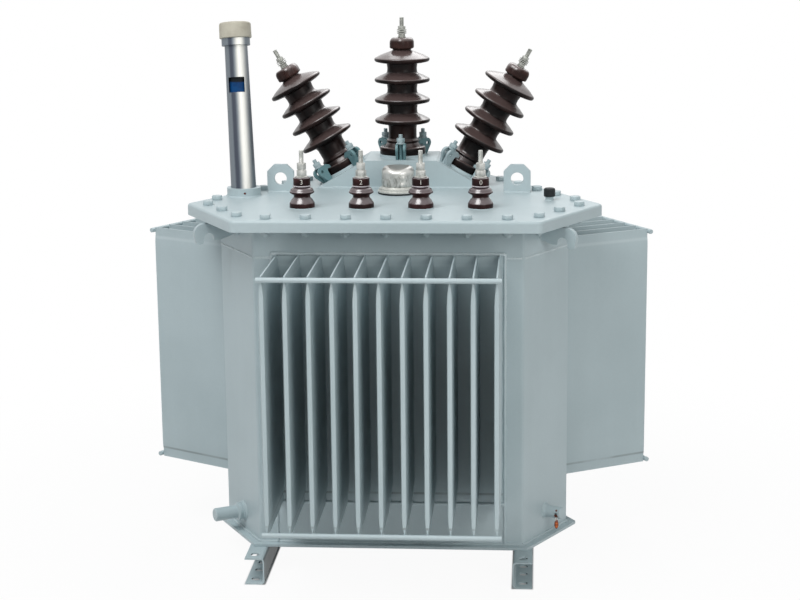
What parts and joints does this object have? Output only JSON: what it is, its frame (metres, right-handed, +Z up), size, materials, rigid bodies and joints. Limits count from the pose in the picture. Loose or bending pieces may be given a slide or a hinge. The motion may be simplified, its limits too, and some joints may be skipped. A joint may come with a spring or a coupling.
{
  "type": "distribution transformer",
  "caption": "Oil-filled three-phase distribution transformer with a three-cornered finned tank, bolted lid, porcelain bushings, oil gauge and base channels.",
  "frame": {"origin": "middle of the rail bolt holes at floor level, below the tank axis", "axes": "+Z up, -Y towards the front finned wall and the low-voltage row, +X to the right seen from the front"},
  "size_m": [1.0978, 0.9509, 1.1203],
  "materials": {
    "paint": "satin grey-blue enamel",
    "rubber": "black rubber",
    "porcelain": "glossy dark brown glaze",
    "stud_metal": "dull tinned metal",
    "clamp_paint": "blue-green paint",
    "tin": "bright dented tinplate",
    "tube_metal": "satin drawn tube",
    "float_blue": "blue plastic",
    "cap_plastic": "beige plastic"
  },
  "bodies": {
    "root": {"base_plate": "paint", "base_channel_left": "paint", "base_channel_right": "paint", "skirting_plates": "paint", "corner_plate_right": "paint", "corner_plate_back": "paint", "corner_plate_left": "paint", "fin_panel_front": "paint", "fin_panel_back_right": "paint", "fin_panel_back_left": "paint", "tie_rods": "paint", "tank_top_frame": "paint", "lid": "paint", "lifting_lug_left": "paint", "lifting_lug_right": "paint", "tank_hook_left": "paint", "tank_hook_right": "paint", "tank_hook_back": "paint", "hv_turret": "paint", "gauge_collar": "paint", "pocket_neck": "paint", "drain_stub": "paint", "earthing_boss": "paint", "lid_gasket": "rubber", "pocket_cap": "rubber", "hv_bushing_left": "porcelain", "hv_bushing_centre": "porcelain", "hv_bushing_right": "porcelain", "lv_bushing_1": "porcelain", "lv_bushing_2": "porcelain", "lv_bushing_3": "porcelain", "lv_bushing_4": "porcelain", "hv_terminal_left": "stud_metal", "hv_terminal_centre": "stud_metal", "hv_terminal_right": "stud_metal", "lv_terminals": "stud_metal", "hv_clamps_left": "clamp_paint", "hv_clamps_centre": "clamp_paint", "hv_clamps_right": "clamp_paint", "relief_valve_foot": "tin", "relief_valve_cap": "tin", "gauge_tube": "tube_metal", "gauge_float": "float_blue", "gauge_cap": "cap_plastic"}
  },
  "joints": []
}
